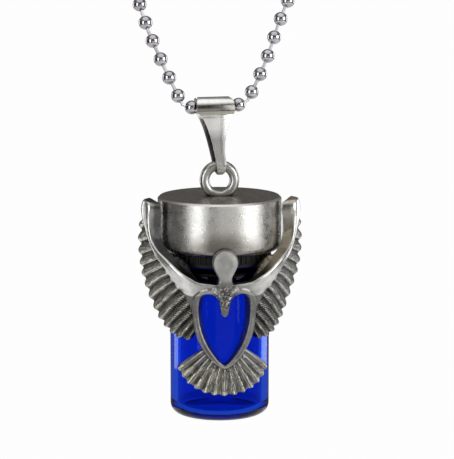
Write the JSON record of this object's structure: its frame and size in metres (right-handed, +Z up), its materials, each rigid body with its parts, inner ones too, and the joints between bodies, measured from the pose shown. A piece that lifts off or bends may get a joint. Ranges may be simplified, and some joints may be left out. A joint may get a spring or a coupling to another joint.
{
  "type": "keepsake urn pendant on a ball chain",
  "caption": "Blue glass vial under a pewter screw cap, held by a cast winged figure with a heart frame and fan tail, hung by a folded bail from a closed ball chain.",
  "frame": {"origin": "underside of the chain's connector at the nape, in the middle plane of the necklace", "axes": "+Z up, the pendant hangs at the front (-Y), +X to the viewer's right as seen from the front"},
  "size_m": [0.118, 0.1196, 0.2233],
  "materials": {
    "chain_steel": "mirror polished",
    "bail_steel": "polished and lightly brushed",
    "cap_pewter": "satin pewter",
    "black_closure": "ribbed, semi matt",
    "cobalt_glass": "clear coloured glass",
    "cast_pewter": "antiqued cast pewter, dark in its grooves"
  },
  "bodies": {
    "chain": {"chain_beads": "chain_steel", "chain_wire": "chain_steel", "chain_clasp": "chain_steel"},
    "bail": {"bail": "bail_steel"},
    "cap": {"urn_cap": "cap_pewter", "screw_cap": "black_closure"},
    "vial": {"glass_vial": "cobalt_glass", "winged_figure": "cast_pewter"}
  },
  "joints": [
    {"name": "bail_swing", "type": "hinge", "parent": "chain", "child": "bail", "pos_m": [-0.00108, -0.10519, -0.16595], "axis": [0.9848, 0.1736, 0], "range_deg": [-80, 40]},
    {"name": "cap_swing", "type": "hinge", "parent": "bail", "child": "cap", "pos_m": [0, -0.105, -0.17586], "axis": [1, 0, 0], "range_deg": [-60, 60]},
    {"name": "vial_unscrew", "type": "slide", "parent": "cap", "child": "vial", "axis": [0, 0, -1], "range_m": [0, 0.015]}
  ]
}
